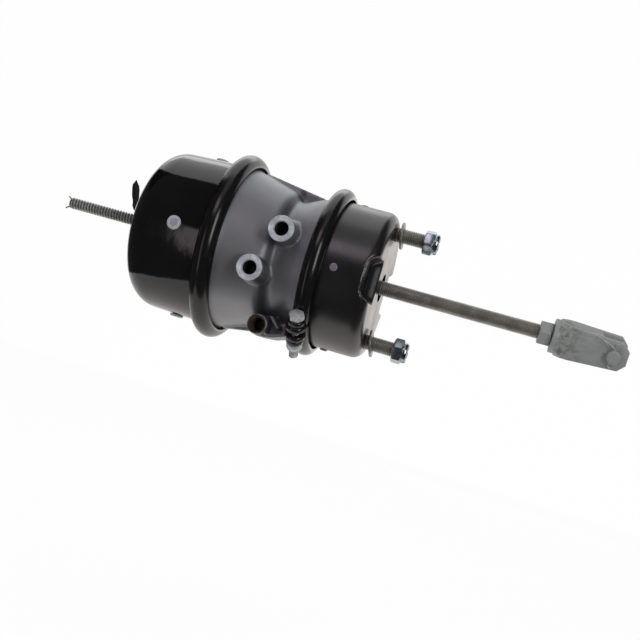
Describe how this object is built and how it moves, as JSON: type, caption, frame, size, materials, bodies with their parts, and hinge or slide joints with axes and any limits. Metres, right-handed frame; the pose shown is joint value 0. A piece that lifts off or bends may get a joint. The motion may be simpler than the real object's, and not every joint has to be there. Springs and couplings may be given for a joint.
{
  "type": "tandem air brake chamber",
  "caption": "Air-applied service chamber clamped to a spring parking-brake chamber, with mounting studs, side air ports, a threaded pushrod with clevis and a release bolt.",
  "frame": {"origin": "centre of the service housing's flat mounting face, on the pushrod's axis", "axes": "+X out along the pushrod, +Z through the two mounting studs, -Y towards the side with the air ports"},
  "size_m": [0.6434, 0.2066, 0.2066],
  "materials": {
    "satin_black_paint": "satin black paint over pressed steel",
    "gloss_black_paint": "gloss black paint over pressed steel",
    "cast_aluminium": "fine matte casting skin, machined port faces",
    "pale_zinc": "pale zinc plating, slightly warm",
    "bright_zinc": "bright bluish zinc plating",
    "dark_steel": "dull dark steel",
    "galvanised_steel": "matte galvanised grey",
    "grey_plastic": "dull grey plastic",
    "guide_plastic": "off-white bearing plastic",
    "black_rubber": "matte black rubber",
    "spring_paint": "dark epoxy coat on spring steel"
  },
  "bodies": {
    "chamber": {"service_housing": "satin_black_paint", "service_vent_plugs": "grey_plastic", "service_clamp_band": "satin_black_paint", "clamp_bolt": "pale_zinc", "clamp_nut": "pale_zinc", "mounting_studs": "dark_steel", "stud_washers": "pale_zinc", "stud_nuts": "bright_zinc", "flange_casting": "cast_aluminium", "hub_guide_bush": "guide_plastic", "hub_seals": "black_rubber", "service_diaphragm": "black_rubber", "spring_diaphragm": "black_rubber", "spring_housing": "gloss_black_paint", "spring_joint_ring": "gloss_black_paint", "spring_vent_plugs": "grey_plastic", "release_washer": "pale_zinc", "dust_cap_strap": "black_rubber", "power_spring": "spring_paint", "pushrod_return_spring": "dark_steel", "adapter_return_spring": "dark_steel"},
    "power_piston": {"pressure_plate": "cast_aluminium", "adapter_pushrod": "dark_steel", "adapter_foot": "cast_aluminium", "release_bolt": "pale_zinc", "release_split_pin": "pale_zinc"},
    "pushrod_group": {"push_plate": "dark_steel", "pushrod": "dark_steel", "pushrod_lock_nut": "galvanised_steel", "clevis": "galvanised_steel"},
    "clevis_pin_group": {"clevis_pin": "galvanised_steel", "clevis_split_pin": "pale_zinc"},
    "release_nut": {"release_nut": "pale_zinc"}
  },
  "joints": [
    {"name": "power_piston_slide", "type": "slide", "parent": "chamber", "child": "power_piston", "axis": [1, 0, 0], "range_m": [0, 0.057], "deforming": ["power_spring", "adapter_return_spring", "spring_diaphragm", "service_diaphragm"]},
    {"name": "pushrod_slide", "type": "slide", "parent": "chamber", "child": "pushrod_group", "axis": [1, 0, 0], "range_m": [0, 0.057], "stiffness_N_per_m": 1000, "springref_m": -0.05, "deforming": ["pushrod_return_spring", "service_diaphragm"]},
    {"name": "release_nut_turn", "type": "hinge", "parent": "chamber", "child": "release_nut", "pos_m": [-0.2785, 0, 0], "axis": [1, 0, 0], "range_deg": [0, 5864]},
    {"name": "clevis_pin_turn", "type": "hinge", "parent": "pushrod_group", "child": "clevis_pin_group", "pos_m": [0.2475, 0, 0], "axis": [0, -0.9397, -0.342], "continuous": true}
  ],
  "couplings": [
    {"joint": "pushrod_slide", "follows": "power_piston_slide", "ratio": 1},
    {"joint": "release_nut_turn", "follows": "power_piston_slide", "rad_per_m": 1795.2}
  ]
}
